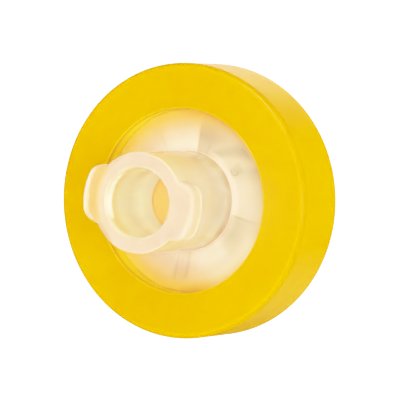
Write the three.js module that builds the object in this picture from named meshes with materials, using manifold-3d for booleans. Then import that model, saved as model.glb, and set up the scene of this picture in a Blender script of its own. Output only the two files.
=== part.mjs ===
// Syringe filter, 13 mm class: two polypropylene halves clamp a round membrane, and a coloured
// band moulded over their rims locks them together. A syringe screws onto the inlet tube, and the
// outlet nozzle fits a needle or a vial adapter.
//
// Millimetres, +Z up along the flow axis with the inlet on top. The origin is the middle of the
// nozzle's end face, on which the filter stands. The two lugs of the inlet lie along X.

import * as THREE from 'three';
import { mergeVertices } from 'three/addons/utils/BufferGeometryUtils.js';
import Module from 'manifold-3d';

// Membrane, and how the halves hold it
const membraneRadius = 6.5;
const membraneThickness = 0.15;
const seatClearance = 0.1; // round the membrane's edge, inside the inlet half
const clampWidth = 0.6; // how far each half covers the membrane's edge
const rimWidth = 0.8; // from the membrane's seat out to the edge of both halves
const chamberDepth = 0.45; // flow space above and below the membrane

// Female luer lock inlet
const luerTaper = 0.06; // on the diameter, for the inlet bore and the outlet nozzle alike
const inletDiscThickness = 1.3; // from the face in the window down to the joint of the halves
const tubeHeight = 6.7; // above the disc
const tubeWall = 0.97;
const tubeRootFillet = 0.15;
const mouthRounding = 0.12; // on the outer edge of the mouth
const boreMouthRadius = 2.15;
const boreChamfer = 0.16; // lead-in at the mouth
const boreFloorThickness = 1.9; // between the bore and the chamber, pierced by the inlet hole
const inletHoleRadius = 0.6;

// The two lugs that a locking collar grips, flush with the mouth
const lugReach = 0.8; // beyond the tube
const lugWidth = 3.45; // at its end
const lugSideDraft = 12; // degrees by which each side opens towards the tube
const lugThickness = 1.35;
const lugCornerRadius = 0.45;
const lugEdgeRounding = 0.3;

// Radial ribs over the membrane, which spread the flow
const inletRibCount = 8;
const inletRibWidth = 0.7;
const inletRibStart = 1.3; // inner end, from the axis
const inletRibEndGap = 0.5; // from the outer end to the chamber's wall
const inletRibGap = 0.05; // down to the membrane

// Male luer slip outlet
const outletDiscThickness = 1.3;
const nozzleLength = 8.5; // below the outlet disc
const nozzleTipRadius = 1.975;
const nozzleTipRounding = 0.12;
const nozzleRootFillet = 0.6;
const nozzleBoreRadius = 1.05;
const outletHoleRadius = 0.6;
const outletHoleLength = 1.2; // from the chamber down to the nozzle's bore

// Radial ribs under the membrane, which carry it
const outletRibCount = 12;
const outletRibWidth = 0.4;
const outletRibStart = 1.2;
const outletRibEndGap = 0.4;

// Moulded band with a lip over each half
const bandWall = 1.15; // outside the rims of the halves
const bandClearance = 0.1; // round the rims of the halves
const lipOverlap = 1.55; // how far both lips reach in over the halves
const inletLipHeight = 1.2;
const outletLipHeight = 0.9;
const bandEdgeRounding = 0.35;
const windowEdgeRounding = 0.15;

// Faceting
const segments = 72; // round the axis
const arcSteps = 3; // in each rounded edge
const ribRoot = 0.2; // how far a rib runs into the disc that it stands on

// Radii that follow
const tubeRadius = boreMouthRadius + tubeWall;
const lugRootRadius = boreMouthRadius + tubeWall / 4;
const chamberRadius = membraneRadius - clampWidth;
const seatRadius = membraneRadius + seatClearance;
const halfRadius = seatRadius + rimWidth;
const grooveRadius = halfRadius + bandClearance;
const bandRadius = grooveRadius + bandWall;
const windowRadius = halfRadius - lipOverlap;

// Heights that follow, from the nozzle's tip up
const bandBottomZ = nozzleLength - outletLipHeight;
const outletDiscZ = nozzleLength;
const jointZ = outletDiscZ + outletDiscThickness;
const outletFloorZ = jointZ - chamberDepth;
const outletHoleEndZ = outletFloorZ - outletHoleLength;
const membraneTopZ = jointZ + membraneThickness;
const inletCeilingZ = membraneTopZ + chamberDepth;
const boreFloorZ = inletCeilingZ + boreFloorThickness;
const inletDiscZ = jointZ + inletDiscThickness;
const bandTopZ = inletDiscZ + inletLipHeight;
const mouthZ = inletDiscZ + tubeHeight;

const wasm = await Module();
wasm.setup();

const naturalPolypropylene = new THREE.MeshStandardMaterial({ color: 0xf4dfba, roughness: 0.35 });
const yellowPolypropylene = new THREE.MeshStandardMaterial({ color: 0xf0c500, roughness: 0.4 });
const membraneSheet = new THREE.MeshStandardMaterial({ color: 0xf7f4ec, roughness: 0.9 });

// Points of an arc in a section or an outline, between two angles in degrees.
function arc(centreX, centreY, radius, fromDegrees, toDegrees) {
  const points = [];
  for (let step = 0; step <= arcSteps; step += 1) {
    const degrees = THREE.MathUtils.lerp(fromDegrees, toDegrees, step / arcSteps);
    const angle = THREE.MathUtils.degToRad(degrees);
    points.push([centreX + radius * Math.cos(angle), centreY + radius * Math.sin(angle)]);
  }
  return points;
}

// Turns a closed section of [radius, height] points, listed counter-clockwise, about Z.
function turned(section) {
  const points = section.map(([radius, height]) => new THREE.Vector2(radius, height));
  points.push(points[0].clone());
  return new THREE.LatheGeometry(points, segments).rotateX(Math.PI / 2);
}

// Radial ribs of one width and height, evenly spaced from the X axis on.
function ribs(count, width, startRadius, endRadius, bottomZ, topZ) {
  const list = [];
  for (let index = 0; index < count; index += 1) {
    const rib = new THREE.BoxGeometry(endRadius - startRadius, width, topZ - bottomZ);
    rib.translate((startRadius + endRadius) / 2, 0, (bottomZ + topZ) / 2);
    list.push(rib.rotateZ((index * 2 * Math.PI) / count));
  }
  return list;
}

// One lug on the +X side: flat top and bottom with rounded edges, sides that open towards the tube,
// and an end that is an arc about the axis. Its inner end lies within the tube's wall.
function lug() {
  const reach = tubeRadius + lugReach;
  const cornerY = lugWidth / 2 - lugCornerRadius;
  const cornerX = Math.sqrt((reach - lugCornerRadius) ** 2 - cornerY ** 2);
  const endDegrees = THREE.MathUtils.radToDeg(Math.atan2(cornerY, cornerX));
  const corner = arc(cornerX, cornerY, lugCornerRadius, endDegrees, 90 - lugSideDraft);
  // The side runs back from the corner, in a straight line, to the circle that the lug is rooted on.
  const sideStart = new THREE.Vector2(...corner.at(-1));
  const draft = THREE.MathUtils.degToRad(lugSideDraft);
  const outward = new THREE.Vector2(Math.cos(draft), -Math.sin(draft));
  const along = sideStart.dot(outward);
  const sideLength = along - Math.sqrt(along ** 2 - sideStart.lengthSq() + lugRootRadius ** 2);
  const root = sideStart.clone().addScaledVector(outward, -sideLength);
  const rootDegrees = THREE.MathUtils.radToDeg(root.angle());
  const mirroredCorner = corner.map(([x, y]) => [x, -y]).reverse();
  const outline = [
    ...arc(0, 0, lugRootRadius, rootDegrees, -rootDegrees),
    ...mirroredCorner,
    ...arc(0, 0, reach, -endDegrees, endDegrees).slice(1, -1),
    ...corner,
  ];
  const shape = new THREE.Shape(outline.map(([x, y]) => new THREE.Vector2(x, y)));
  const geometry = new THREE.ExtrudeGeometry(shape, {
    depth: lugThickness - 2 * lugEdgeRounding,
    bevelThickness: lugEdgeRounding,
    bevelSize: lugEdgeRounding,
    bevelOffset: -lugEdgeRounding,
    bevelSegments: arcSteps,
  });
  return geometry.translate(0, 0, mouthZ - lugThickness + lugEdgeRounding);
}

// A closed mesh as a solid that can be joined.
function toSolid(geometry) {
  geometry.deleteAttribute('normal');
  geometry.deleteAttribute('uv');
  const merged = mergeVertices(geometry, 1e-5);
  return new wasm.Manifold(new wasm.Mesh({
    numProp: 3,
    vertProperties: new Float32Array(merged.attributes.position.array),
    triVerts: new Uint32Array(merged.index.array),
  }));
}

// All pieces of one moulding joined into a single closed mesh.
function joined(geometries) {
  const solid = geometries.map(toSolid).reduce((whole, piece) => whole.add(piece));
  const mesh = solid.getMesh();
  const geometry = new THREE.BufferGeometry();
  geometry.setAttribute('position', new THREE.BufferAttribute(mesh.vertProperties, mesh.numProp));
  geometry.setIndex(new THREE.BufferAttribute(mesh.triVerts, 1));
  geometry.computeVertexNormals();
  return geometry;
}

function inletHousing() {
  const boreTopRadius = boreMouthRadius - (luerTaper / 2) * boreChamfer;
  const boreFloorRadius = boreMouthRadius - (luerTaper / 2) * (mouthZ - boreFloorZ);
  const shell = turned([
    [inletHoleRadius, inletCeilingZ],
    [chamberRadius, inletCeilingZ],
    [chamberRadius, membraneTopZ],
    [seatRadius, membraneTopZ],
    [seatRadius, jointZ],
    [halfRadius, jointZ],
    [halfRadius, inletDiscZ],
    ...arc(tubeRadius + tubeRootFillet, inletDiscZ + tubeRootFillet, tubeRootFillet, 270, 180),
    ...arc(tubeRadius - mouthRounding, mouthZ - mouthRounding, mouthRounding, 0, 90),
    [boreMouthRadius + boreChamfer, mouthZ],
    [boreTopRadius, mouthZ - boreChamfer],
    [boreFloorRadius, boreFloorZ],
    [inletHoleRadius, boreFloorZ],
  ]);
  const flowRibs = ribs(inletRibCount, inletRibWidth, inletRibStart, chamberRadius - inletRibEndGap,
    membraneTopZ + inletRibGap, inletCeilingZ + ribRoot);
  return joined([shell, lug(), lug().rotateZ(Math.PI), ...flowRibs]);
}

function outletHousing() {
  const rootRadius = nozzleTipRadius + (luerTaper / 2) * (nozzleLength - nozzleRootFillet);
  const shell = turned([
    [nozzleBoreRadius, 0],
    ...arc(nozzleTipRadius - nozzleTipRounding, nozzleTipRounding, nozzleTipRounding, -90, 0),
    ...arc(rootRadius + nozzleRootFillet, outletDiscZ - nozzleRootFillet, nozzleRootFillet, 180, 90),
    [halfRadius, outletDiscZ],
    [halfRadius, jointZ],
    [chamberRadius, jointZ],
    [chamberRadius, outletFloorZ],
    [outletHoleRadius, outletFloorZ],
    [outletHoleRadius, outletHoleEndZ],
    [nozzleBoreRadius, outletHoleEndZ],
  ]);
  const supportRibs = ribs(outletRibCount, outletRibWidth, outletRibStart, chamberRadius - outletRibEndGap,
    outletFloorZ - ribRoot, jointZ);
  return joined([shell, ...supportRibs]);
}

function membrane() {
  const disc = new THREE.CylinderGeometry(membraneRadius, membraneRadius, membraneThickness, segments);
  return disc.rotateX(Math.PI / 2).translate(0, 0, jointZ + membraneThickness / 2);
}

function overmoldBand() {
  const edgeRadius = bandRadius - bandEdgeRounding;
  const lipRadius = windowRadius + windowEdgeRounding;
  return turned([
    ...arc(lipRadius, bandBottomZ + windowEdgeRounding, windowEdgeRounding, 180, 270),
    ...arc(edgeRadius, bandBottomZ + bandEdgeRounding, bandEdgeRounding, -90, 0),
    ...arc(edgeRadius, bandTopZ - bandEdgeRounding, bandEdgeRounding, 0, 90),
    ...arc(lipRadius, bandTopZ - windowEdgeRounding, windowEdgeRounding, 90, 180),
    [windowRadius, inletDiscZ],
    [grooveRadius, inletDiscZ],
    [grooveRadius, outletDiscZ],
    [windowRadius, outletDiscZ],
  ]);
}

function piece(name, geometry, material) {
  const mesh = new THREE.Mesh(geometry, material);
  mesh.name = name;
  return mesh;
}

const syringeFilter = new THREE.Group();
syringeFilter.add(
  piece('inlet_housing', inletHousing(), naturalPolypropylene),
  piece('outlet_housing', outletHousing(), naturalPolypropylene),
  piece('membrane', membrane(), membraneSheet),
  piece('overmold_ring', overmoldBand(), yellowPolypropylene),
);

export default syringeFilter;
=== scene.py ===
# Syringe filter with a 13 mm membrane: two natural polypropylene halves, a white membrane between
# them and a yellow band moulded over their rims. The shapes are worked out as smooth grids around the
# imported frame, in millimetres, and put into the meshes in metres.

import math

import bpy
import numpy as np
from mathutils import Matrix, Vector


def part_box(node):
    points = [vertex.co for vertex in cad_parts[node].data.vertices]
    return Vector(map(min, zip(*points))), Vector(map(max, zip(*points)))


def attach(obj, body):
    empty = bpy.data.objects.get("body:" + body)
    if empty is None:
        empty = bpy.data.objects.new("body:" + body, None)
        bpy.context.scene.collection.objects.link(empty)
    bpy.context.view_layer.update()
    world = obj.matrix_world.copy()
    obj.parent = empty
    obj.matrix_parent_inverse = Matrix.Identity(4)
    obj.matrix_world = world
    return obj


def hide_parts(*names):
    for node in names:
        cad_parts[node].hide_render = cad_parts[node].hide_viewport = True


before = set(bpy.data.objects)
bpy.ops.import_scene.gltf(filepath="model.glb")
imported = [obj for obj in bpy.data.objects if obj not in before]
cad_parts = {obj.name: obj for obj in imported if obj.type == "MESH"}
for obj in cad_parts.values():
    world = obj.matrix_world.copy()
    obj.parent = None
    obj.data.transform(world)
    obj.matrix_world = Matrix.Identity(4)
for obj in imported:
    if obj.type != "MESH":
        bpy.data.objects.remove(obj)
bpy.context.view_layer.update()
mm = 0.001
skinGap = 0.01  # kept between surfaces that would otherwise lie in one place
sameHeight = 1e-6  # how far apart two heights, or two radii, still count as one
print("stage: frame loaded")


def nodeBox(node):
    # The lowest and highest corner of a CAD node.
    low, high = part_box(node)
    return np.array(low) / mm, np.array(high) / mm


bandLow, bandHigh = nodeBox("overmold_ring")
inletLow, inletHigh = nodeBox("inlet_housing")
outletLow, outletHigh = nodeBox("outlet_housing")
membraneLow, membraneHigh = nodeBox("membrane")

# ---- shapes


def closedSection(corners, arcSteps=6):
    # A closed outline in (radius, height). Each corner is (radius, height, rounding, steps): the rounding
    # is a tangent arc between its two sides, and steps divides the straight run to the next corner. The
    # arc turns the line from its centre to the first tangent point evenly into the line to the last one,
    # weighted by the sines of the angles still to go and already gone.
    sides = np.array([corner[:2] for corner in corners], float)
    starts, ends, arcs = [], [], []
    for index, (_, _, rounding, _) in enumerate(corners):
        here = sides[index]
        back = sides[index - 1] - here
        ahead = sides[(index + 1) % len(corners)] - here
        back, ahead = back / np.linalg.norm(back), ahead / np.linalg.norm(ahead)
        half = math.acos(np.clip(back @ ahead, -1, 1)) / 2
        nearlyStraight = half > math.pi / 2 - 0.01
        if rounding == 0 or nearlyStraight:
            arc = here[None]
        else:
            bisector = (back + ahead) / np.linalg.norm(back + ahead)
            centre = here + bisector * rounding / math.sin(half)
            first = here + back * rounding / math.tan(half) - centre
            last = here + ahead * rounding / math.tan(half) - centre
            share = np.linspace(0, 1, arcSteps + 1)[:, None]
            sweep = math.pi - 2 * half
            turned = np.sin((1 - share) * sweep) * first + np.sin(share * sweep) * last
            arc = centre + turned / math.sin(sweep)
        arcs.append(arc)
        starts.append(arc[0])
        ends.append(arc[-1])
    points = []
    for index, (_, _, _, steps) in enumerate(corners):
        following = starts[(index + 1) % len(corners)]
        share = np.linspace(0, 1, steps + 1)[1:-1, None]
        points.append(arcs[index])
        points.append(ends[index] + (following - ends[index]) * share)
    return np.concatenate(points)


def turnedGrid(section, columns):
    # The section turned about Z: angle along the first axis of the grid, the section along the second.
    angle = np.linspace(0, 2 * math.pi, columns, endpoint=False)[:, None]
    radius = np.broadcast_to(section[:, 0], (columns, len(section))).copy()
    height = np.broadcast_to(section[:, 1], (columns, len(section))).copy()
    return angle, radius, height


def turnedPoints(angle, radius, height):
    # Angle, radius and height as X, Y and Z: the radius times the angle's cosine and sine, and the height.
    points = np.stack([radius * np.cos(angle), radius * np.sin(angle), height], axis=-1)
    return points.reshape(-1, 3)


def gridFaces(columns, rows):
    # Four-sided faces between the neighbours of a grid that closes on itself both ways.
    number = np.arange(columns * rows).reshape(columns, rows)
    right = np.roll(number, -1, axis=0)
    return np.stack([number, right, np.roll(right, -1, axis=1), np.roll(number, -1, axis=1)], axis=-1)


def meshObject(name, points, faces):
    mesh = bpy.data.meshes.new(name)
    mesh.from_pydata((points * mm).tolist(), [], faces)
    mesh.polygons.foreach_set("use_smooth", np.ones(len(mesh.polygons), bool))
    mesh.update()
    piece = bpy.data.objects.new(name, mesh)
    bpy.context.scene.collection.objects.link(piece)
    return piece


def ringMesh(name, angle, radius, height):
    # A grid that closes on itself both ways, as a surface without seam or pole.
    faces = gridFaces(*radius.shape).reshape(-1, 4)
    return meshObject(name, turnedPoints(angle, radius, height), faces.tolist())


def smoothStep(edgeLow, edgeHigh, value):
    # 0 below the low edge, 1 above the high one, and between them three squares less two cubes of the
    # share of the way.
    share = np.clip((value - edgeLow) / (edgeHigh - edgeLow), 0, 1)
    return share * share * (3 - 2 * share)


def smoothMax(first, second, blend):
    # The larger of two surfaces, with a fillet of about the blend's size where they meet.
    share = np.clip(0.5 + (first - second) / (2 * blend), 0, 1)
    return second + (first - second) * share + blend * share * (1 - share)


def radialRibs(angle, radius, part):
    # 1 on each rib and 0 between ribs: distance to the nearest rib's centre line against half its width.
    pitch = 2 * math.pi / part["ribs"]
    soft = part["ribSoftness"]
    away = (angle + pitch / 2) % pitch - pitch / 2
    across = np.abs(radius * np.sin(away))
    side = 1 - smoothStep(part["ribWidth"] / 2 - soft, part["ribWidth"] / 2 + soft, across)
    ends = smoothStep(part["ribStart"] - soft, part["ribStart"] + soft, radius)
    ends = ends * (1 - smoothStep(part["ribEnd"] - soft, part["ribEnd"] + soft, radius))
    return side * ends


inlet = {
    "discTop": 11.1,
    "tubeRadius": 3.12,
    "rootFillet": 0.15,
    "mouthRounding": 0.12,
    "boreMouth": 2.15,
    "boreLeadIn": 0.16,
    "boreTaper": 0.03,  # of the radius, for each mm of depth
    "boreFloor": 12.3,
    "hole": 0.6,
    "holeMargin": 0.1,  # round the hole, without ribs
    "ceiling": 10.4,
    "chamber": 5.9,
    "seat": 6.6,
    "clampFace": membraneHigh[2] + skinGap,
    "ribs": 8,
    "ribWidth": 0.7,
    "ribStart": 1.3,
    "ribEnd": 5.4,
    "ribDepth": 0.4,
    "ribSoftness": 0.07,
    "lugReach": 3.92,
    "lugWidth": 3.45,
    "lugDraft": math.radians(12),
    "lugCorner": 0.45,
    "lugThickness": 1.35,
    "lugRounding": 0.3,
    "lugUnderslope": 0.12,
    "lugOverlap": 0.4,  # how far the underslope runs on inside the tube's wall
    "lugBlend": 0.06,
    "lugHalvings": 30,
    "fineRounding": 0.05,
    "seatRounding": 0.03,
    "boreEdgeRounding": 0.08,
    "leadInRounding": 0.1,
    "boreFloorRounding": 0.12,
    "columns": 384,
}


def lugRadius(angle, inset):
    # How far out both lugs reach at each angle, for an outline pulled in by the inset. The outline is a
    # disc cut by two drafted sides, with round corners: the radius is found by halving.
    limit = inlet["lugReach"] - inlet["lugCorner"]
    cornerHalf = inlet["lugWidth"] / 2 - inlet["lugCorner"]
    cornerAlong = math.sqrt(limit**2 - cornerHalf**2)
    slopeCos, slopeSin = math.cos(inlet["lugDraft"]), math.sin(inlet["lugDraft"])
    alongShare, acrossShare = np.abs(np.cos(angle)), np.abs(np.sin(angle))
    near = np.zeros(np.broadcast(angle, inset).shape)
    far = near + inlet["lugReach"] + 1
    for _ in range(inlet["lugHalvings"]):
        radius = (near + far) / 2
        beyondEnd = radius - limit
        beyondSide = (radius * acrossShare - cornerHalf) * slopeCos
        beyondSide = beyondSide + (radius * alongShare - cornerAlong) * slopeSin
        outside = np.hypot(np.maximum(beyondEnd, 0), np.maximum(beyondSide, 0))
        distance = outside + np.minimum(np.maximum(beyondEnd, beyondSide), 0) - inlet["lugCorner"]
        inside = distance + inset < 0
        near, far = np.where(inside, radius, near), np.where(inside, far, radius)
    return (near + far) / 2


def lugInset(height):
    # How far the lug's outline is pulled in at each height: quarter circles at the top and bottom edges,
    # and a steady slope along the underside, back into the tube.
    mouth, rounding = inletHigh[2], inlet["lugRounding"]
    bottom = mouth - inlet["lugThickness"]
    nearest = np.clip(np.minimum(mouth - height, height - bottom), 0, rounding)
    inset = rounding - np.sqrt(rounding**2 - (rounding - nearest) ** 2)
    under = np.clip((bottom - height) / inlet["lugUnderslope"], 0, 1)
    return inset + under * (inlet["lugReach"] - inlet["tubeRadius"] + inlet["lugOverlap"])


def buildInletHousing():
    part = inlet
    mouth, joint, rim = inletHigh[2], inletLow[2], inletHigh[1]
    fine = part["fineRounding"]
    lugBottom = mouth - part["lugThickness"]
    boreFloorRadius = part["boreMouth"] - part["boreTaper"] * (mouth - part["boreFloor"])
    corners = [
        (part["hole"], part["ceiling"], fine, 52),
        (part["chamber"], part["ceiling"], fine, 3),
        (part["chamber"], part["clampFace"], 0, 3),
        (part["seat"], part["clampFace"], 0, 2),
        (part["seat"], joint, part["seatRounding"], 3),
        (rim, joint, fine, 5),
        (rim, part["discTop"], fine, 20),
        (part["tubeRadius"], part["discTop"], part["rootFillet"], 22),
        (part["tubeRadius"], lugBottom - part["lugUnderslope"], 0, 10),
        (part["tubeRadius"], lugBottom, 0, 7),
        (part["tubeRadius"], lugBottom + part["lugRounding"], 0, 5),
        (part["tubeRadius"], mouth - part["lugRounding"], 0, 3),
        (part["tubeRadius"], mouth, part["mouthRounding"], 8),
        (part["boreMouth"] + part["boreLeadIn"], mouth, part["boreEdgeRounding"], 2),
        (part["boreMouth"], mouth - part["boreLeadIn"], part["leadInRounding"], 20),
        (boreFloorRadius, part["boreFloor"], part["boreFloorRounding"], 10),
        (part["hole"], part["boreFloor"], fine, 8),
    ]
    angle, radius, height = turnedGrid(closedSection(corners), part["columns"])

    onCeiling = np.abs(height - part["ceiling"]) < sameHeight
    onCeiling = onCeiling & (radius > part["hole"] + part["holeMargin"])
    height = height - np.where(onCeiling, radialRibs(angle, radius, part) * part["ribDepth"], 0)

    # The mouth's face is stretched out to the lugs' edge, and the wall below it is pushed out to them.
    innerEdge = part["boreMouth"] + part["boreLeadIn"]
    outerEdge = part["tubeRadius"] - part["mouthRounding"]
    faceEdge = smoothMax(outerEdge, lugRadius(angle, part["lugRounding"]), part["lugBlend"])
    onFace = (np.abs(height - mouth) < sameHeight) & (radius > innerEdge) & (radius < outerEdge + sameHeight)
    stretched = innerEdge + (radius - innerEdge) * (faceEdge - innerEdge) / (outerEdge - innerEdge)
    onWall = (height > lugBottom - part["lugUnderslope"] - sameHeight) & (radius > outerEdge + sameHeight)
    pushed = smoothMax(radius, lugRadius(angle, lugInset(height)), part["lugBlend"])
    radius = np.where(onFace, stretched, np.where(onWall, pushed, radius))
    return ringMesh("inletHousing", angle, radius, height)


outlet = {
    "discBottom": 8.5,
    "tipRadius": 1.975,
    "tipRounding": 0.12,
    "taper": 0.03,  # of the radius, for each mm of height
    "rootFillet": 0.6,
    "bore": 1.05,
    "hole": 0.6,
    "holeMargin": 0.1,
    "holeEnd": 8.15,
    "floor": 9.35,
    "chamber": 5.9,
    "ribs": 12,
    "ribWidth": 0.4,
    "ribStart": 1.2,
    "ribEnd": 5.5,
    "ribSoftness": 0.07,
    "ribClearance": 0.02,  # under the joint's face
    "fineRounding": 0.05,
    "boreEdgeRounding": 0.08,
    "chamberEdgeRounding": 0.04,
    "holeEndRounding": 0.03,
    "columns": 480,
}


def buildOutletHousing():
    part = outlet
    tip, joint, rim = outletLow[2], outletHigh[2] - skinGap, outletHigh[1]
    fine = part["fineRounding"]
    rootRadius = part["tipRadius"] + part["taper"] * (part["discBottom"] - tip)
    corners = [
        (part["bore"], tip, part["boreEdgeRounding"], 4),
        (part["tipRadius"], tip, part["tipRounding"], 22),
        (rootRadius, part["discBottom"], part["rootFillet"], 20),
        (rim, part["discBottom"], fine, 5),
        (rim, joint, fine, 6),
        (part["chamber"], joint, part["chamberEdgeRounding"], 3),
        (part["chamber"], part["floor"], fine, 52),
        (part["hole"], part["floor"], fine, 4),
        (part["hole"], part["holeEnd"], part["holeEndRounding"], 3),
        (part["bore"], part["holeEnd"], part["holeEndRounding"], 20),
    ]
    angle, radius, height = turnedGrid(closedSection(corners), part["columns"])
    onFloor = np.abs(height - part["floor"]) < sameHeight
    onFloor = onFloor & (radius > part["hole"] + part["holeMargin"])
    ribHeight = joint - part["floor"] - part["ribClearance"]
    height = height + np.where(onFloor, radialRibs(angle, radius, part) * ribHeight, 0)
    return ringMesh("outletHousing", angle, radius, height)


membrane = {"edgeRounding": 0.04, "edgeSteps": 3, "columns": 192, "rows": 40}


def buildMembrane():
    # A thin disc: its section runs out along the underside, up the edge and back in along the top, and
    # fans of triangles close it on the axis.
    part = membrane
    low, high, radius = membraneLow[2], membraneHigh[2], membraneHigh[0]
    inner = radius / part["rows"]
    corners = [
        (inner, low, 0, part["rows"]),
        (radius, low, part["edgeRounding"], 1),
        (radius, high, part["edgeRounding"], part["rows"]),
        (inner, high, 0, 1),
    ]
    angle, radii, height = turnedGrid(closedSection(corners, part["edgeSteps"]), part["columns"])
    points = np.concatenate([turnedPoints(angle, radii, height), [[0, 0, low], [0, 0, high]]])
    lowPole, highPole = radii.size, radii.size + 1
    quads = gridFaces(*radii.shape)
    under = np.insert(quads[:, 0, 1::-1], 0, lowPole, axis=1)
    over = np.insert(quads[:, -1, :2], 0, highPole, axis=1)
    faces = [*quads[:, :-1].reshape(-1, 4).tolist(), *under.tolist(), *over.tolist()]
    return meshObject("filterMembrane", points, faces)


band = {
    "window": 5.8,
    "groove": 7.5,
    "inletDisc": inlet["discTop"] + skinGap,
    "outletDisc": outlet["discBottom"] - skinGap,
    "edgeRounding": 0.35,
    "windowRounding": 0.06,
    "discRounding": 0.03,
    "grooveRounding": 0.05,
    "arcSteps": 8,
    "columns": 288,
}


def buildBand():
    part = band
    bottom, top, outer = bandLow[2], bandHigh[2], bandHigh[0]
    corners = [
        (part["window"], bottom, part["windowRounding"], 12),
        (outer, bottom, part["edgeRounding"], 16),
        (outer, top, part["edgeRounding"], 12),
        (part["window"], top, part["windowRounding"], 6),
        (part["window"], part["inletDisc"], part["discRounding"], 6),
        (part["groove"], part["inletDisc"], part["grooveRounding"], 8),
        (part["groove"], part["outletDisc"], part["grooveRounding"], 6),
        (part["window"], part["outletDisc"], part["discRounding"], 5),
    ]
    section = closedSection(corners, part["arcSteps"])
    return ringMesh("overmoldBand", *turnedGrid(section, part["columns"]))


inletHousing = buildInletHousing()
outletHousing = buildOutletHousing()
filterMembrane = buildMembrane()
overmoldBand = buildBand()
print("stage: pieces built")

# ---- materials


def linearColour(code):
    # An sRGB hex value as linear red, green, blue and a full alpha.
    parts = [int(code[start:start + 2], 16) / 255 for start in (1, 3, 5)]
    return [part / 12.92 if part <= 0.04045 else ((part + 0.055) / 1.055) ** 2.4 for part in parts] + [1.0]


def direction(azimuth, elevation):
    # A unit vector from an azimuth about Z, from +X, and an elevation, both in degrees.
    azimuth, elevation = math.radians(azimuth), math.radians(elevation)
    flat = math.cos(elevation)
    return np.array([flat * math.cos(azimuth), flat * math.sin(azimuth), math.sin(elevation)])


def addNode(tree, kind, settings=None):
    # A node with its settings and links: another node's output is linked to the input of that name or
    # number, and any other value is given to the node's own setting or to its input.
    node = tree.nodes.new(kind)
    for name, value in (settings or {}).items():
        if isinstance(value, bpy.types.NodeSocket):
            tree.links.new(value, node.inputs[name])
        elif isinstance(name, str) and hasattr(node, name):
            setattr(node, name, value)
        else:
            node.inputs[name].default_value = value
    return node


def newMaterial(name):
    material = bpy.data.materials.new(name)
    material.use_nodes = True
    material.node_tree.nodes.clear()
    return material, material.node_tree


def finishMaterial(tree, settings):
    # The surface's shader, with all that was made for it, is led to the output.
    shader = addNode(tree, "ShaderNodeBsdfPrincipled", settings)
    addNode(tree, "ShaderNodeOutputMaterial", {"Surface": shader.outputs["BSDF"]})


def addMeasures(tree):
    # Where a point of the surface lies: its place in metres, and in millimetres its X and Y, its height,
    # its radius and the point pressed flat onto the XY plane.
    place = addNode(tree, "ShaderNodeTexCoord").outputs["Object"]
    scaled = addNode(tree, "ShaderNodeVectorMath", {"operation": "SCALE", 0: place, "Scale": 1 / mm})
    parts = addNode(tree, "ShaderNodeSeparateXYZ", {0: scaled.outputs["Vector"]}).outputs
    flat = addNode(tree, "ShaderNodeCombineXYZ", {"X": parts["X"], "Y": parts["Y"]}).outputs["Vector"]
    radius = addNode(tree, "ShaderNodeVectorMath", {"operation": "LENGTH", 0: flat}).outputs["Value"]
    return {"place": place, "flat": flat, "x": parts["X"], "y": parts["Y"], "height": parts["Z"],
            "radius": radius}


def addMask(tree, measures, limits):
    # 1 where every limit is kept and 0 where one isn't: the product of a smooth ramp for each. A limit is
    # a measure's name, the value where its ramp starts, the value where it is full, and its strength
    # where that isn't 1.
    mask = None
    for name, start, end, *strength in limits:
        ramp = addNode(tree, "ShaderNodeMapRange", {
            "interpolation_type": "SMOOTHSTEP",
            "Value": measures[name],
            "From Min": start,
            "From Max": end,
            "To Max": strength[0] if strength else 1.0,
        }).outputs["Result"]
        if mask is None:
            mask = ramp
        else:
            product = addNode(tree, "ShaderNodeMath", {"operation": "MULTIPLY", 0: mask, 1: ramp})
            mask = product.outputs["Value"]
    return mask


def addLayers(tree, below, layers, blend="MIX"):
    # Hex colours, or plain numbers, laid over what is below one after another, each as strongly as its
    # mask. The Mix node's sockets go by number, because those of a colour and a number share their names.
    for mask, value in layers:
        if isinstance(value, str):
            settings = {"data_type": "RGBA", "blend_type": blend, 0: mask, 6: below, 7: linearColour(value)}
            below = addNode(tree, "ShaderNodeMix", settings).outputs[2]
        else:
            settings = {"data_type": "FLOAT", 0: mask, 2: below, 3: value}
            below = addNode(tree, "ShaderNodeMix", settings).outputs[0]
    return below


def byRegion(masks, values):
    # Each region's mask with that region's value, as layers.
    return [(masks[name], value) for name, value in values.items()]


cloudLimits = (0.4, 0.65)  # of the noise: where a cloud starts and where it is whole


def addMouldedSkin(tree, measures, colour, skin):
    # The melt's faint clouds as a shade of the colour, and the mould's grain as a bump. Sizes and the
    # bump's depth are in millimetres.
    clouds = addNode(tree, "ShaderNodeTexNoise", {
        "Vector": measures["place"],
        "Scale": 1 / (skin["cloudSize"] * mm),
        "Detail": 2.0,
    })
    grain = addNode(tree, "ShaderNodeTexNoise", {
        "Vector": measures["place"],
        "Scale": 1 / (skin["grainSize"] * mm),
        "Detail": 1.0,
    })
    bump = addNode(tree, "ShaderNodeBump", {
        "Strength": skin["grainStrength"],
        "Distance": skin["grainDepth"] * mm,
        "Height": grain.outputs[0],
    })
    cloudMask = addMask(tree, {"cloud": clouds.outputs[0]}, [("cloud", *cloudLimits, skin["cloudShare"])])
    colour = addLayers(tree, colour, [(cloudMask, skin["cloudShade"])], "MULTIPLY")
    return colour, bump.outputs["Normal"]


# Limits that several regions of the natural plastic share, in millimetres.
aboveFoot = ("height", 11.2, 11.35)
lugHeight = ("height", 16.3, 16.45)
boreWall = [("radius", 2.5, 2.4), ("height", 17.75, 17.6), aboveFoot]
lugBody = [("radius", 3.05, 3.25), lugHeight]

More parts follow.
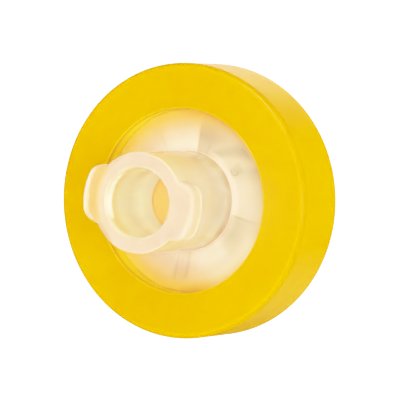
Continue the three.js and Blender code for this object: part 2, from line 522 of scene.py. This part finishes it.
naturalLook = {
    # Azimuths of cosine measures, and centres of distance measures.
    "azimuths": {"litSide": 5, "sideways": 104},
    "centres": {"fromFarLug": (0.42, 0.1, 0), "fromMark": (2.8, 2.45, 0)},
    "regions": {
        "litSide": [("litSide", 0.0, 0.7), ("radius", 3.1, 3.7), ("radius", 5.7, 4.7)],
        "mouldMark": [("fromMark", 0.18, 0.25, 0.4), ("fromMark", 0.32, 0.25), ("y", 2.57, 2.35)],
        "tube": [aboveFoot],
        "tubeSideShade": [aboveFoot, ("sideways", 0.35, 0.85)],
        "rim": [("height", 17.6, 17.75)],
        "lug": lugBody,
        "lugSideShade": [*lugBody, ("height", 17.75, 17.5)],
        "farLugGlow": [("fromFarLug", 2.95, 3.49), ("x", -1.0, -1.6), ("radius", 3.75, 3.55), lugHeight],
        "bore": boreWall,
        "boreLipShade": [*boreWall, ("height", 16.2, 17.2), ("x", 0.5, -1.5)],
        "boreDeep": [*boreWall, ("height", 15.2, 13.6)],
        "boreFloor": [("height", 12.42, 12.34), ("height", 12.2, 12.28), ("radius", 2.1, 2.05)],
        "underLipGlow": [("height", 10.7, 10.6), ("height", 9.7, 9.8), ("radius", 5.4, 5.75)],
    },
    # Each region's colour, laid over those before it.
    "colours": {
        "mouldMark": "#a0958a",
        "tube": "#dacab2",
        # Painted shade: a darker, warmer beige on the tube's two flanks.
        "tubeSideShade": "#dac398",
        "rim": "#efd2b9",
        # Painted shade: the lugs' side walls are painted darker than the rim, against the light they catch.
        "lugSideShade": "#e0ccb2",
        # Painted light: the band's yellow light, seen through the lug on the -X side, is painted on it as an
        # amber strip.
        "farLugGlow": "#f0cc9a",
        # Painted light: the bore's wall is painted near white, paler than the rim, against the shade inside
        # the bore.
        "bore": "#fff8e4",
        # Painted shade: the bore's wall near the mouth on the -X side, which faces the lamps, is painted
        # darker and warmer.
        "boreLipShade": "#f0dcb0",
        # Painted light: an amber glow on the bore's floor for the band's yellow light led in through the
        # disc.
        "boreFloor": "#f3c67a",
        # Painted light: the band's yellow light is painted on the surfaces under its lip, where it shows
        # through the disc.
        "underLipGlow": "#ffc800",
    },
    # How clear the disc is, and each region over it.
    "clearDisc": 0.15,
    "clear": {
        "tube": 0.35,
        "rim": 0.4,
        "lug": 0.4,
        "farLugGlow": 0.6,
        "bore": 0.62,
        "boreDeep": 0.32,
        "boreFloor": 0.1,
    },
    "inside": "#ffffff",
    "skin": {
        "cloudSize": 1.6,
        "cloudShare": 0.35,
        "cloudShade": "#f4f2ee",
        "grainSize": 0.3,
        "grainDepth": 0.01,
        "grainStrength": 0.12,
    },
    "roughness": {"outside": 0.15, "inside": 0.45},
    "shader": {
        "IOR": 1.49,
        "Subsurface Weight": 1.0,
        "Subsurface Radius": (1.0, 0.85, 0.6),
        "Subsurface Scale": 0.00025,
    },
}

# The disc in the window, from the tube out: the band's yellow light is painted in from its rim as a glow,
# painted weaker on the side that faces the lamps. Each band is the radii between which its colour comes in.
disc = {
    "inner": "#fbe0ca",
    "yellowGlowBands": [
        (3.5, 4.4, "#ebcbae"),
        (4.2, 5.0, "#ecc994"),
        (4.9, 5.5, "#f4c96c"),
        (5.45, 5.75, "#fad060"),
    ],
    "litSide": "#e2cfb6",
}

# The ribs under the disc bend the light, so they show from above as streaks, painted into the disc's colour
# as painted shade and painted light; a few near the band's rim are painted shade and light there. Angles,
# leans, widths and edges are in degrees, and radii and tapers in millimetres. A streak leans by so many
# degrees for each millimetre of radius, about the lean's radius.
streaks = {
    "leanRadius": 4,
    "usualTapers": (0.2, 0.2),
    "colours": {"shade": ("#ccd5cb", "MULTIPLY"), "light": ("#fbeed8", "MIX")},
    "list": [
        {"angle": 91.5, "width": 36, "edges": (1.5, 30), "radii": (3.2, 3.9), "tapers": (0.1, 1.6),
         "shade": 0.75},
        {"angle": 80, "width": 4, "edges": (2, 3), "radii": (3.2, 3.8), "shade": 0.2},
        {"angle": 66, "lean": -12, "width": 16, "edges": (9, 10), "radii": (3.6, 5.0), "shade": 0.5},
        {"angle": 41, "lean": -5, "width": 16, "edges": (6, 12), "radii": (4.0, 5.4), "tapers": (0.7, 0.3),
         "shade": 0.3},
        {"angle": 46, "width": 12, "edges": (4, 6), "radii": (3.5, 4.1), "tapers": (0.2, 0.3),
         "shade": 0.35},
        {"angle": 55, "width": 50, "edges": (12, 20), "radii": (5.0, 5.8), "tapers": (0.6, 0.2),
         "shade": 0.15},
        {"angle": -4, "width": 38, "edges": (1, 16), "radii": (3.2, 3.6), "tapers": (0.1, 1.2),
         "shade": 0.45},
        {"angle": -4, "width": 4, "edges": (1, 3), "radii": (3.4, 4.6), "tapers": (0.2, 0.6),
         "shade": 0.25},
        {"angle": -14, "width": 54, "edges": (14, 14), "radii": (5.1, 5.8), "tapers": (0.8, 0.2),
         "light": 0.4},
        {"angle": -40, "width": 34, "edges": (12, 10), "radii": (3.3, 3.9), "tapers": (0.1, 0.8),
         "light": 0.4},
        {"angle": -77, "lean": -2.6, "width": 18, "edges": (4, 6), "radii": (3.2, 4.6), "tapers": (0.1, 1.0),
         "shade": 0.25},
        {"angle": -79, "lean": -2.6, "width": 3, "edges": (2, 2), "radii": (3.3, 4.8), "shade": 0.25},
        {"angle": -90, "width": 3, "edges": (2, 2), "radii": (3.4, 5.0), "shade": 0.25},
        {"angle": -93, "width": 24, "edges": (6, 12), "radii": (3.4, 3.8), "tapers": (0.2, 0.6),
         "shade": 0.3},
        {"angle": -72, "width": 56, "edges": (14, 14), "radii": (5.3, 5.8), "tapers": (0.6, 0.2),
         "shade": 0.15},
        {"angle": 124, "width": 32, "edges": (14, 2), "radii": (3.4, 4.2), "tapers": (0.3, 0.8),
         "light": 0.25},
        {"angle": 165, "width": 40, "edges": (14, 14), "radii": (4.2, 5.2), "tapers": (0.6, 0.4),
         "light": 0.06},
        {"angle": 129, "width": 3.5, "edges": (1.5, 2), "radii": (3.7, 4.5), "shade": 0.2},
        {"angle": 180, "width": 15, "edges": (1.5, 12), "radii": (3.2, 4.6), "tapers": (0.1, 1.0),
         "shade": 0.6},
        {"angle": -138, "width": 15, "edges": (2, 12), "radii": (3.2, 4.6), "tapers": (0.1, 1.0),
         "shade": 0.5},
    ],
}


def addStreak(tree, measures, streak):
    # A streak starts at its angle, moved by its lean, and is so many degrees wide, clockwise. It rises and
    # fades over its two edges, and at its two ends over its tapers.
    rise, fade = streak["edges"]
    start, end = streak["radii"]
    startTaper, endTaper = streak.get("tapers", streaks["usualTapers"])
    lean = streak.get("lean", 0)
    first = addNode(tree, "ShaderNodeMath", {
        "operation": "MULTIPLY_ADD",
        0: measures["radius"],
        1: lean,
        2: streak["angle"] - streaks["leanRadius"] * lean,
    }).outputs["Value"]
    past = addNode(tree, "ShaderNodeMath", {"operation": "SUBTRACT", 0: first, 1: measures["angle"]})
    return addMask(tree, {**measures, "past": past.outputs["Value"]}, [
        ("past", -rise / 2, rise / 2, streak.get("shade", streak.get("light"))),
        ("past", streak["width"], streak["width"] - fade),
        ("radius", start - startTaper, start),
        ("radius", end + endTaper, end),
    ])


def addTurnMeasures(tree, measures):
    # How a point lies about the axis: its angle in degrees, the cosine of the angle to each azimuth, for
    # the tube's sides either way round, and the distance in millimetres from each centre.
    flat = measures["flat"]
    turn = addNode(tree, "ShaderNodeMath", {"operation": "ARCTAN2", 0: measures["y"], 1: measures["x"]})
    angle = addNode(tree, "ShaderNodeMath", {"operation": "DEGREES", 0: turn.outputs["Value"]})
    measures["angle"] = angle.outputs["Value"]
    toward = addNode(tree, "ShaderNodeVectorMath", {"operation": "NORMALIZE", 0: flat}).outputs["Vector"]
    for name, azimuth in naturalLook["azimuths"].items():
        settings = {"operation": "DOT_PRODUCT", 0: toward, 1: direction(azimuth, 0)}
        measures[name] = addNode(tree, "ShaderNodeVectorMath", settings).outputs["Value"]
    bothWays = addNode(tree, "ShaderNodeMath", {"operation": "ABSOLUTE", 0: measures["sideways"]})
    measures["sideways"] = bothWays.outputs["Value"]
    for name, centre in naturalLook["centres"].items():
        settings = {"operation": "DISTANCE", 0: flat, 1: centre}
        measures[name] = addNode(tree, "ShaderNodeVectorMath", settings).outputs["Value"]


def naturalPolypropylene():
    # Natural polypropylene, injection moulded: milky, lets light through and keeps a soft gloss. Thin
    # walls are clearer. The band's yellow light is painted in as a glow near it, and painted shade and
    # painted light lie on the disc, tube, lugs and bore.
    look, rough = naturalLook, naturalLook["roughness"]
    material, tree = newMaterial("naturalPolypropyleneMoulded")
    measures = addMeasures(tree)
    addTurnMeasures(tree, measures)
    masks = {name: addMask(tree, measures, limits) for name, limits in look["regions"].items()}

    # The band's yellow light is painted in as a glow from the disc's rim, weaker on the side that faces the
    # lamps.
    colour = linearColour(disc["inner"])
    for start, end, code in disc["yellowGlowBands"]:
        colour = addLayers(tree, colour, [(addMask(tree, measures, [("radius", start, end)]), code)])
    colour = addLayers(tree, colour, [(masks["litSide"], disc["litSide"])])
    # Streaks of painted shade and painted light where the ribs under the disc bend the light.
    for streak in streaks["list"]:
        code, blend = streaks["colours"]["shade" if "shade" in streak else "light"]
        colour = addLayers(tree, colour, [(addStreak(tree, measures, streak), code)], blend)
    colour = addLayers(tree, colour, byRegion(masks, look["colours"]))
    colour, normal = addMouldedSkin(tree, measures, colour, look["skin"])

    # Light that has entered leaves again freely, so the far side of each wall is clear and without colour.
    inside = addNode(tree, "ShaderNodeNewGeometry").outputs["Backfacing"]
    wallClear = addLayers(tree, look["clearDisc"], byRegion(masks, look["clear"]))
    clear = addNode(tree, "ShaderNodeMath", {"operation": "MAXIMUM", 0: inside, 1: wallClear})
    finishMaterial(tree, {
        **look["shader"],
        "Base Color": addLayers(tree, colour, [(inside, look["inside"])]),
        "Transmission Weight": clear.outputs["Value"],
        "Roughness": addLayers(tree, rough["outside"], [(inside, rough["inside"])]),
        "Normal": normal,
    })
    return material


windowWall = ("radius", 5.88, 5.82)

yellowLook = {
    "regions": {
        "lip": [windowWall],
        "wall": [windowWall, ("height", bandHigh[2] - 0.1, bandHigh[2] - 0.7)],
        "edge": [
            ("radius", bandHigh[0] - 0.24, bandHigh[0] - 0.1),
            ("height", bandHigh[2] - 0.5, bandHigh[2] - 0.3),
        ],
    },
    "body": "#c7a100",
    # The lip and wall are painted light, brighter than the body; the edge is painted shade, darker than the
    # body.
    "colours": {"lip": "#d0ac0c", "wall": "#ecd21a", "edge": "#bc9800"},
    "skin": {
        "cloudSize": 1.2,
        "cloudShare": 0.2,
        "cloudShade": "#f6f4f0",
        "grainSize": 0.25,
        "grainDepth": 0.01,
        "grainStrength": 0.15,
    },
    "bodyRoughness": 0.26,
    "roughness": {"lip": 0.6, "edge": 0.14},
    "shader": {
        "IOR": 1.49,
        "Specular IOR Level": 0.45,
        "Subsurface Weight": 1.0,
        "Subsurface Radius": (1.0, 0.9, 0.1),
        "Subsurface Scale": 0.0002,
    },
}


def yellowPolypropylene():
    # Yellow polypropylene, overmoulded: deep even colour with a satin surface. The window's wall and lip
    # are painted a brighter yellow, painted light in the shade they stand in, and the outer front edge is
    # painted darker, as painted shade on the rounding that catches the lamps.
    look = yellowLook
    material, tree = newMaterial("yellowPolypropyleneOvermoulded")
    measures = addMeasures(tree)
    masks = {name: addMask(tree, measures, limits) for name, limits in look["regions"].items()}
    colour = addLayers(tree, linearColour(look["body"]), byRegion(masks, look["colours"]))
    colour, normal = addMouldedSkin(tree, measures, colour, look["skin"])
    finishMaterial(tree, {
        **look["shader"],
        "Base Color": colour,
        "Roughness": addLayers(tree, look["bodyRoughness"], byRegion(masks, look["roughness"])),
        "Normal": normal,
    })
    return material


membraneLook = {
    "body": "#fbf8f2",
    "clampedEdge": [("radius", 5.4, 5.75)],
    "edgeYellowGlow": "#f0b800",
    "skin": {
        "cloudSize": 0.8,
        "cloudShare": 0.5,
        "cloudShade": "#f2eee6",
        "grainSize": 0.1,
        "grainDepth": 0.02,
        "grainStrength": 0.4,
    },
    "shader": {"Roughness": 0.9, "IOR": 1.4},
}


def membraneSheet():
    # Cast porous membrane: white and matte, with the band's yellow light painted on its clamped edge. Its
    # pores are drawn at 0.1 mm, far coarser than they are, so that they show.
    look = membraneLook
    material, tree = newMaterial("castMembraneSheet")
    measures = addMeasures(tree)
    edge = addMask(tree, measures, look["clampedEdge"])
    colour = addLayers(tree, linearColour(look["body"]), [(edge, look["edgeYellowGlow"])])
    colour, normal = addMouldedSkin(tree, measures, colour, look["skin"])
    finishMaterial(tree, {**look["shader"], "Base Color": colour, "Normal": normal})
    return material


natural = naturalPolypropylene()
for piece, material, node, slot in [
    (inletHousing, natural, "inlet_housing", "natural_polypropylene"),
    (outletHousing, natural, "outlet_housing", "natural_polypropylene"),
    (filterMembrane, membraneSheet(), "membrane", "membrane_sheet"),
    (overmoldBand, yellowPolypropylene(), "overmold_ring", "yellow_polypropylene"),
]:
    piece.data.materials.append(material)
    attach(piece, "root")
    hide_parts(node)
print("stage: materials set")

# ---- floor, light and camera

studio = {
    "floorHalf": 500,
    "floorDrop": 0.02,  # under the nozzle's tip, so that the two faces don't lie in one place
    "floorGlow": 1.35,
    "tent": 1.0,
    "toneCurve": [(0, 0), (0.2, 0.22), (0.4, 0.48), (0.6, 0.73), (0.8, 0.88), (1.0, 0.955), (1.25, 1.0)],
    "toneReach": 2.0,  # the brightest value that the curve takes in
    "aim": (0, 0, 0.012),
    "lampDistance": 1.0,
    # Directions in degrees, about Z from +X and up from level. A card is only mirrored and gives no light,
    # and a fill gives light and isn't mirrored.
    "lamps": [
        {"name": "softboxRight", "role": "fill", "azimuth": 8, "elevation": 36, "size": 0.33, "watts": 2.4},
        {"name": "softboxAbove", "role": "fill", "azimuth": 80, "elevation": 38, "size": 0.33, "watts": 1.5},
        {"name": "glintRight", "role": "card", "azimuth": 8, "elevation": 36, "size": 0.33, "watts": 1.0},
        {"name": "glintAbove", "role": "card", "azimuth": 80, "elevation": 38, "size": 0.33, "watts": 1.8},
        {"name": "fillFront", "role": "fill", "azimuth": 14, "elevation": 72, "size": 0.6, "watts": 4.2},
        {"name": "fillBelow", "role": "fill", "azimuth": -85, "elevation": 0, "size": 0.6, "watts": 4.6},
        {"name": "fillRight", "role": "fill", "azimuth": 0, "elevation": 5, "size": 0.6, "watts": 1.5},
        {"name": "cardBehind", "role": "card", "azimuth": 153, "elevation": -62, "size": 0.7, "watts": 1.7,
         "colour": "#ffdae0"},
        {"name": "cardFar", "role": "card", "azimuth": -145, "elevation": -62, "size": 0.5, "watts": 0.2,
         "colour": "#ffdc90"},
        {"name": "cardGrazing", "role": "card", "azimuth": -166, "elevation": -62, "size": 0.16,
         "watts": 0.035, "colour": "#ffe8a0"},
        {"name": "cardBelow", "role": "card", "azimuth": -80, "elevation": -60, "size": 0.5, "watts": 0.14},
    ],
}


def buildFloor():
    # An evenly lit white table: it glows by itself, so nothing darkens it.
    corners = np.array([(-1, -1, 0), (1, -1, 0), (1, 1, 0), (-1, 1, 0)]) * studio["floorHalf"]
    floor = meshObject("paleFloor", corners - [0, 0, studio["floorDrop"]], [(0, 1, 2, 3)])
    floor.visible_glossy = False
    material, tree = newMaterial("paleFloorBoard")
    finishMaterial(tree, {
        "Base Color": linearColour("#000000"),
        "Roughness": 1.0,
        "Specular IOR Level": 0.0,
        "Emission Color": (1, 1, 1, 1),
        "Emission Strength": studio["floorGlow"],
    })
    floor.data.materials.append(material)


def buildTent():
    # A white tent that gives the same light from all around and isn't mirrored by glossy surfaces.
    world = bpy.data.worlds.new("softTent")
    world.use_nodes = True
    background = world.node_tree.nodes["Background"]
    background.inputs["Color"].default_value = (1, 1, 1, 1)
    background.inputs["Strength"].default_value = studio["tent"]
    world.cycles_visibility.glossy = False
    bpy.context.scene.world = world


def setTone():
    # A high-key film curve over the standard view: middle tones are lifted and bright ones roll off. The
    # last of the four curves is the one for all the colours.
    settings = bpy.context.scene.view_settings
    settings.view_transform = "Standard"
    settings.use_curve_mapping = True
    mapping = settings.curve_mapping
    mapping.clip_max_x = studio["toneReach"]
    curve = mapping.curves[3]
    curve.points[-1].location = studio["toneCurve"][-1]
    for point in studio["toneCurve"][1:-1]:
        curve.points.new(*point)
    mapping.update()


def buildLamps():
    for lamp in studio["lamps"]:
        data = bpy.data.lights.new(lamp["name"], "AREA")
        data.shape = "SQUARE"
        data.size = lamp["size"]
        data.energy = lamp["watts"]
        data.color = linearColour(lamp.get("colour", "#ffffff"))[:3]
        piece = bpy.data.objects.new(lamp["name"], data)
        toward = direction(lamp["azimuth"], lamp["elevation"])
        piece.location = np.array(studio["aim"]) + toward * studio["lampDistance"]
        piece.rotation_euler = Vector(-toward).to_track_quat("-Z", "Y").to_euler()
        piece.visible_camera = False
        piece.visible_diffuse = piece.visible_transmission = lamp["role"] != "card"
        piece.visible_glossy = lamp["role"] != "fill"
        bpy.context.scene.collection.objects.link(piece)


# Distance and aim in millimetres, and angles in degrees: the azimuth about Z, from +X.
view = {
    "distance": 189.33,
    "azimuth": 14.398,
    "elevation": 61.659,
    "roll": 92.551,
    "aim": (1.365, 0.349, 12.3),
    "lens": 273.3,
    "sensor": 36,
    "nearest": 10,
}


def buildCamera():
    # The camera looks down on the inlet from the +X side, rolled so that the flow axis lies level. Its
    # right and up are the level and upright directions turned by the roll.
    back = direction(view["azimuth"], view["elevation"])
    level = np.cross([0, 0, 1], back)
    level = level / np.linalg.norm(level)
    upright = np.cross(back, level)
    roll = math.radians(view["roll"])
    right = math.cos(roll) * level - math.sin(roll) * upright
    up = math.sin(roll) * level + math.cos(roll) * upright
    data = bpy.data.cameras.new("camera")
    data.lens = view["lens"]
    data.sensor_width = view["sensor"]
    data.clip_start = view["nearest"] * mm
    camera = bpy.data.objects.new("camera", data)
    place = (np.array(view["aim"]) + back * view["distance"]) * mm
    turn = np.identity(4)
    turn[:3, 0], turn[:3, 1], turn[:3, 2], turn[:3, 3] = right, up, back, place
    camera.matrix_world = [list(row) for row in turn.T]
    bpy.context.scene.collection.objects.link(camera)
    bpy.context.scene.camera = camera


buildFloor()
buildTent()
setTone()
buildLamps()
buildCamera()
print("stage: studio ready")
